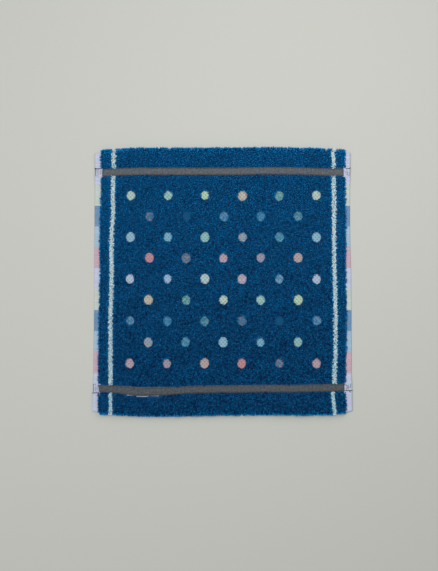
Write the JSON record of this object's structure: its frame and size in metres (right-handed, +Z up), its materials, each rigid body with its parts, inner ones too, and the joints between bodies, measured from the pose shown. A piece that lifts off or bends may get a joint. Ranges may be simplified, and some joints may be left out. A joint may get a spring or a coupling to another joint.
{
  "type": "terry towel handkerchief",
  "caption": "Small terry towel handkerchief lying flat and face up, with dots let into its looped pile, flat selvedges, turned hems and a grey tape sewn over each hem line.",
  "frame": {"origin": "on the surface the cloth lies on, under the middle of its outline", "axes": "+X across the cloth towards the selvedge on the right as seen from above, +Y along it towards the upper hem, +Z up through the pile"},
  "size_m": [0.245, 0.2559, 0.0057],
  "materials": {
    "terry": "matte looped cotton pile on a flat coloured ground weave",
    "tape": "matte flat woven cotton"
  },
  "bodies": {
    "root": {"cloth": "terry", "band_top": "tape", "band_bottom": "tape"}
  },
  "joints": []
}
